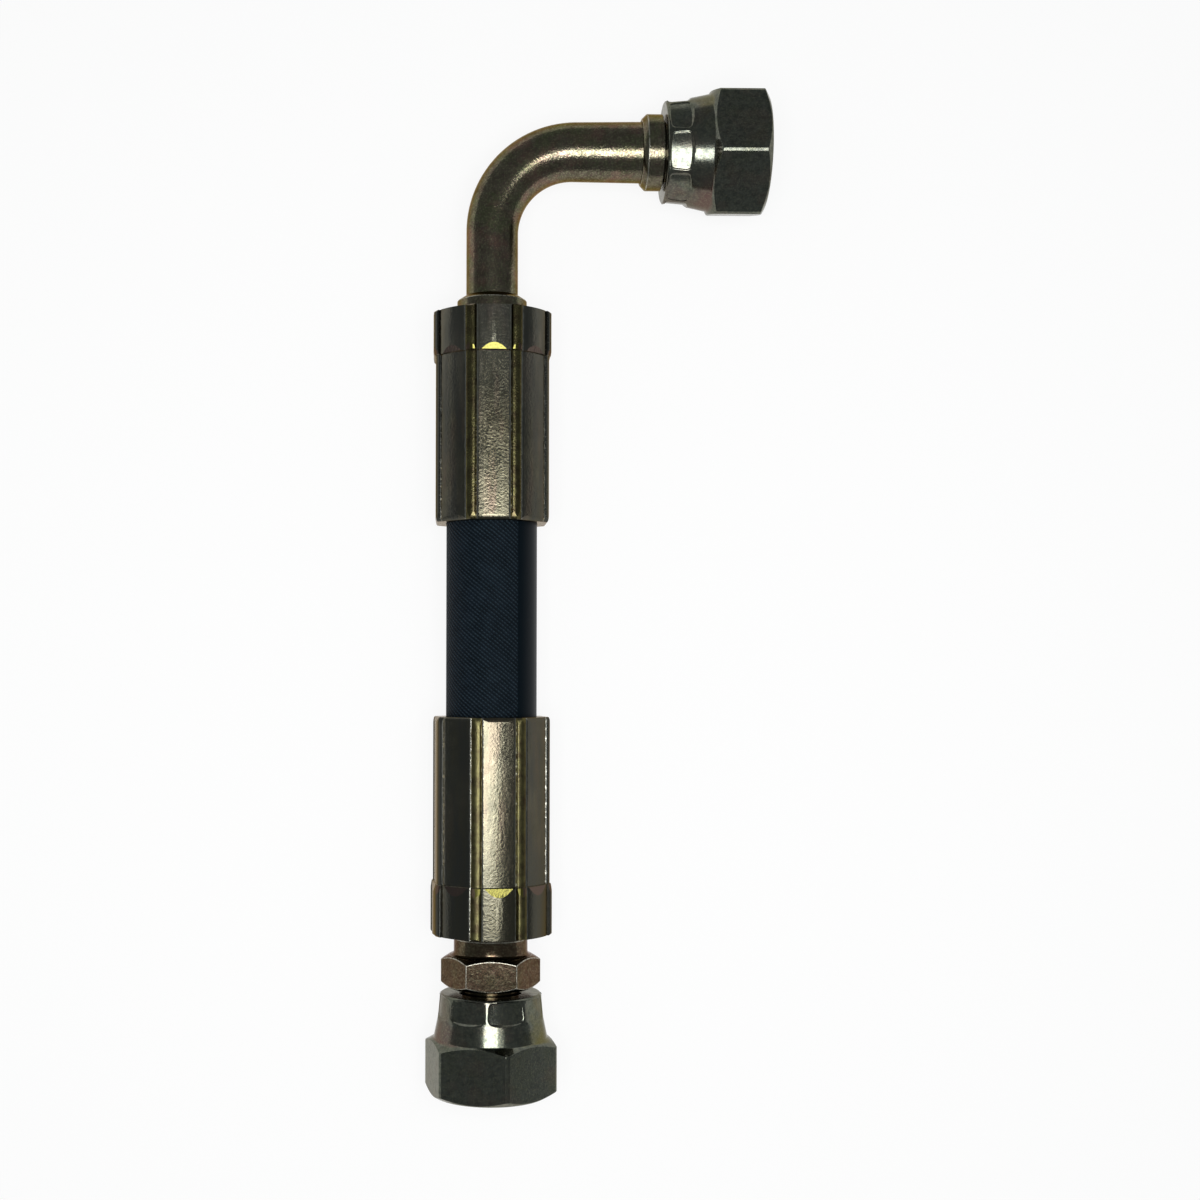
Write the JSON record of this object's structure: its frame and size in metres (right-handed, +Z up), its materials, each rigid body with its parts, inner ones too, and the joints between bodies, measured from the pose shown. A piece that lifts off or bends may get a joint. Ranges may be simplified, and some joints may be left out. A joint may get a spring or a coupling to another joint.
{
  "type": "hydraulic hose assembly",
  "caption": "Short braided hydraulic hose with crimped ferrules, a straight cone fitting at one end and a swept 90 degree elbow at the other, each with a swivel nut.",
  "frame": {"origin": "tip of the straight end's sealing cone, on the hose axis", "axes": "+Y along the hose towards the elbow, +X along the elbow's outlet, +Z up out of the plane of the bend"},
  "size_m": [0.051, 0.1519, 0.0202],
  "materials": {
    "yellow_zinc_steel": "turned and bent steel, zinc plated and yellow chromated",
    "ferrule_zinc_steel": "crimped steel, zinc plated, pale yellow chromate",
    "cover_rubber": "fabric-wrapped synthetic rubber cover, matte",
    "tube_rubber": "smooth synthetic rubber",
    "braid_wire": "brass-coated steel wire braid",
    "seal_rubber": "moulded nitrile rubber"
  },
  "bodies": {
    "hose_body": {"straight_stem": "yellow_zinc_steel", "elbow_stem": "yellow_zinc_steel", "elbow_tube": "yellow_zinc_steel", "elbow_cone_head": "yellow_zinc_steel", "straight_ferrule": "ferrule_zinc_steel", "elbow_ferrule": "ferrule_zinc_steel", "hose_inner_tube": "tube_rubber", "hose_inner_braid": "braid_wire", "hose_interlayer": "tube_rubber", "hose_outer_braid": "braid_wire", "hose_cover": "cover_rubber", "straight_cone_o_ring": "seal_rubber", "elbow_cone_o_ring": "seal_rubber"},
    "straight_nut": {"straight_swivel_nut": "yellow_zinc_steel"},
    "elbow_nut": {"elbow_swivel_nut": "yellow_zinc_steel"}
  },
  "joints": [
    {"name": "straight_nut_swivel", "type": "hinge", "parent": "hose_body", "child": "straight_nut", "pos_m": [0, 0, 0], "axis": [0, 1, 0], "continuous": true},
    {"name": "elbow_nut_swivel", "type": "hinge", "parent": "hose_body", "child": "elbow_nut", "pos_m": [0.0391, 0.14, 0], "axis": [1, 0, 0], "continuous": true}
  ]
}
